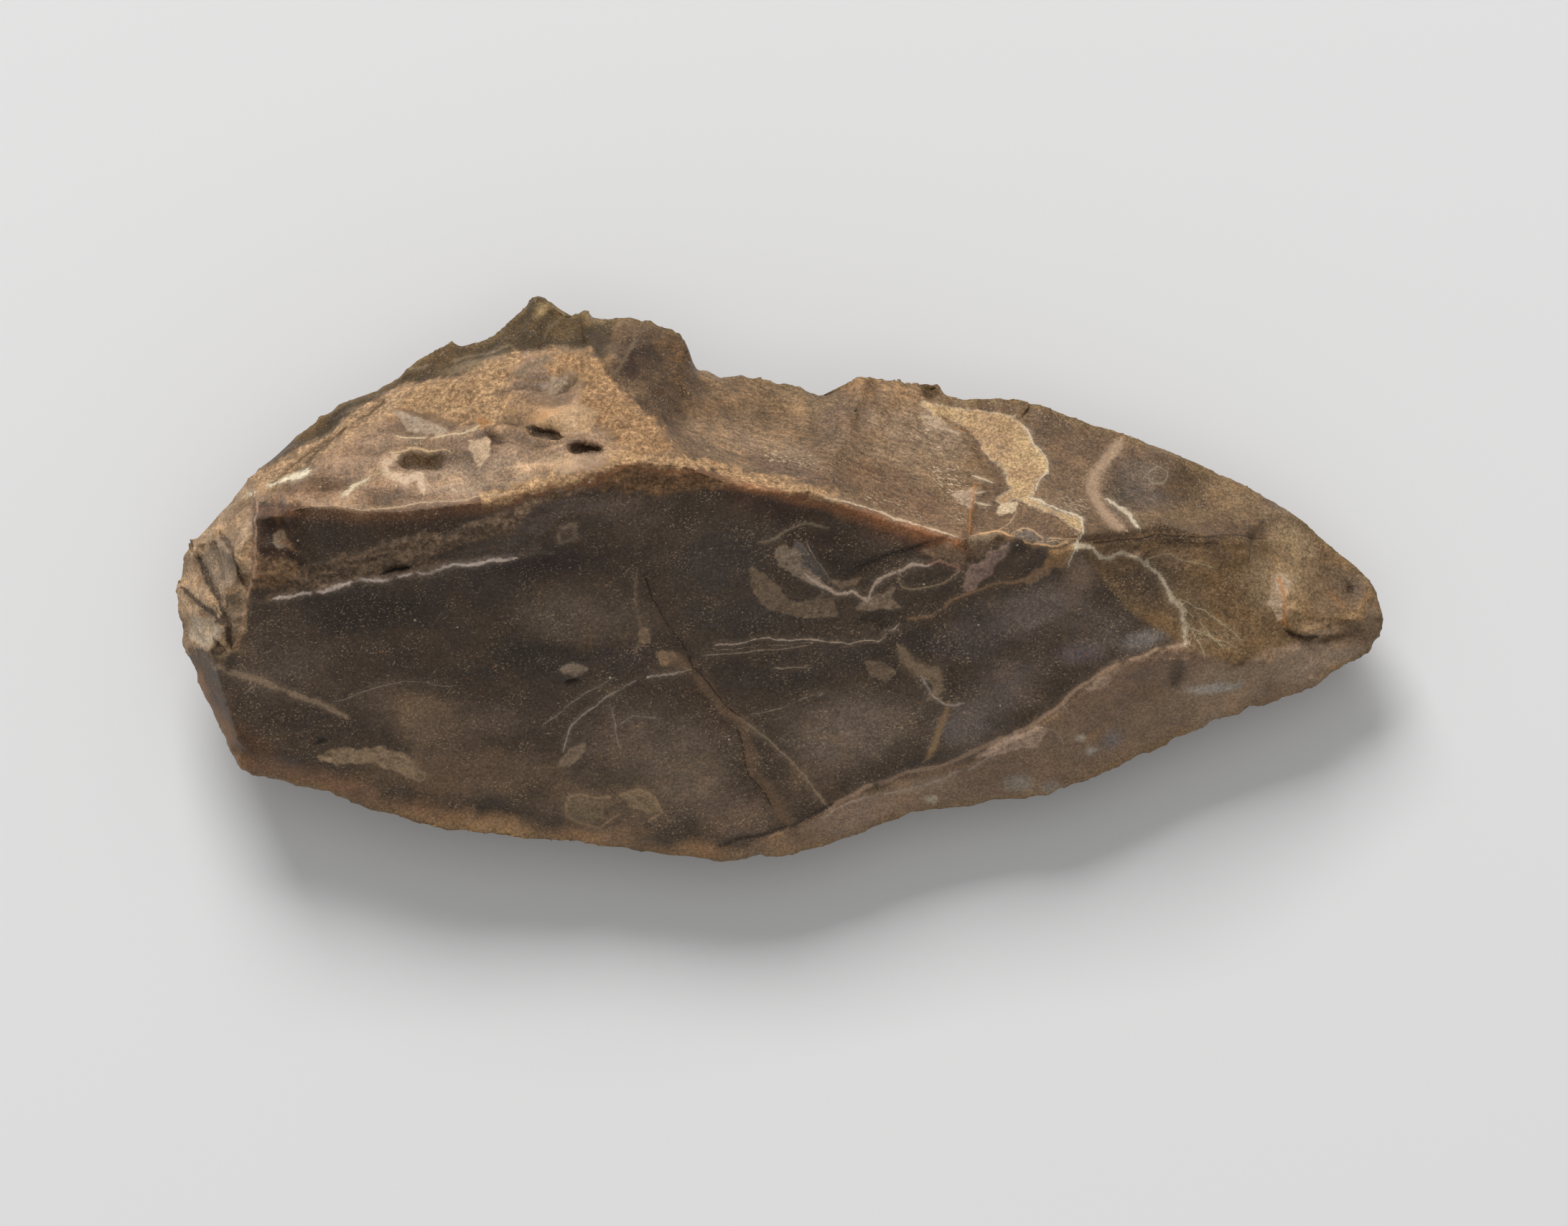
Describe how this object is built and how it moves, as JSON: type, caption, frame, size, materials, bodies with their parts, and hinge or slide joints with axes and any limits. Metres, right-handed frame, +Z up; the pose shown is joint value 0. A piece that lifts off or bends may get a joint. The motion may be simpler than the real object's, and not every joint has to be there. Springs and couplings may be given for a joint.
{
  "type": "stone hand axe",
  "caption": "Knapped flint hand axe with a thick blunt butt, a long ridge, a notched edge and a blunt point.",
  "frame": {"origin": "under the middle of the axe's length and width, on the surface that it lies on", "axes": "+X from the butt to the tip, +Y across to the notched edge, +Z up out of the ridged face"},
  "size_m": [0.1499, 0.0704, 0.0425],
  "materials": {
    "flint": "patinated flint: dark grey-brown on the flat face, buff and sandy on the other side, silky sheen"
  },
  "bodies": {
    "root": {"hand_axe": "flint"}
  },
  "joints": []
}
